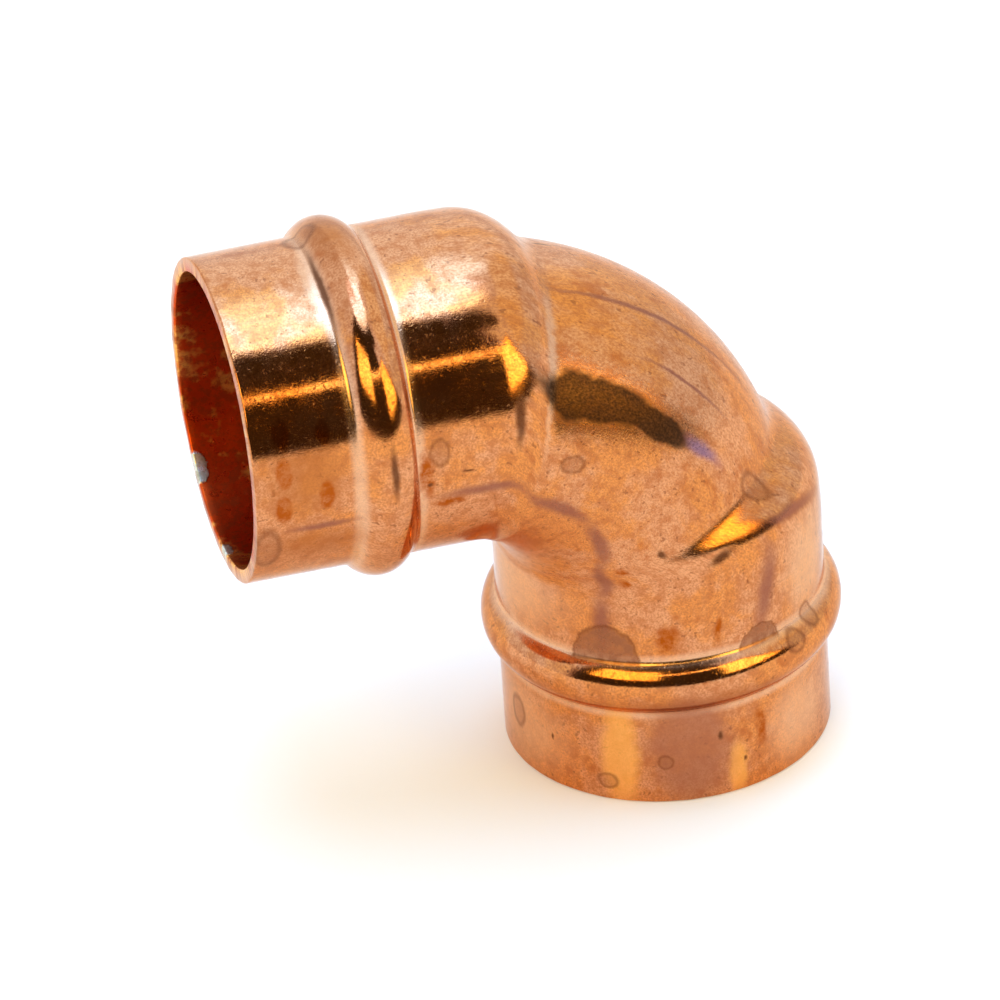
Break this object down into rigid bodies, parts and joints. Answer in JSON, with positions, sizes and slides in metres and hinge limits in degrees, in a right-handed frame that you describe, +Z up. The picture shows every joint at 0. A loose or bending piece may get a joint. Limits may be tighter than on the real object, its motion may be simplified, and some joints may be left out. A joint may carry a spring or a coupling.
{
  "type": "pipe elbow",
  "caption": "Right-angle copper elbow that joins 15 mm tubes: beaded sockets hold rings of solder, which melt to seal the joints around a tight bend.",
  "frame": {"origin": "under the middle of the bounding box, in the plane of the lower mouth, on which the elbow stands", "axes": "+Z up along the lower socket's axis; the upper socket opens along -X; +Y across the elbow, normal to its plane of symmetry"},
  "size_m": [0.0316, 0.0184, 0.0316],
  "materials": {
    "copper": "polished copper with tarnish spots",
    "solder": "dull grey solder"
  },
  "bodies": {
    "root": {"elbow_body": "copper", "upper_solder_ring": "solder", "lower_solder_ring": "solder"}
  },
  "joints": []
}
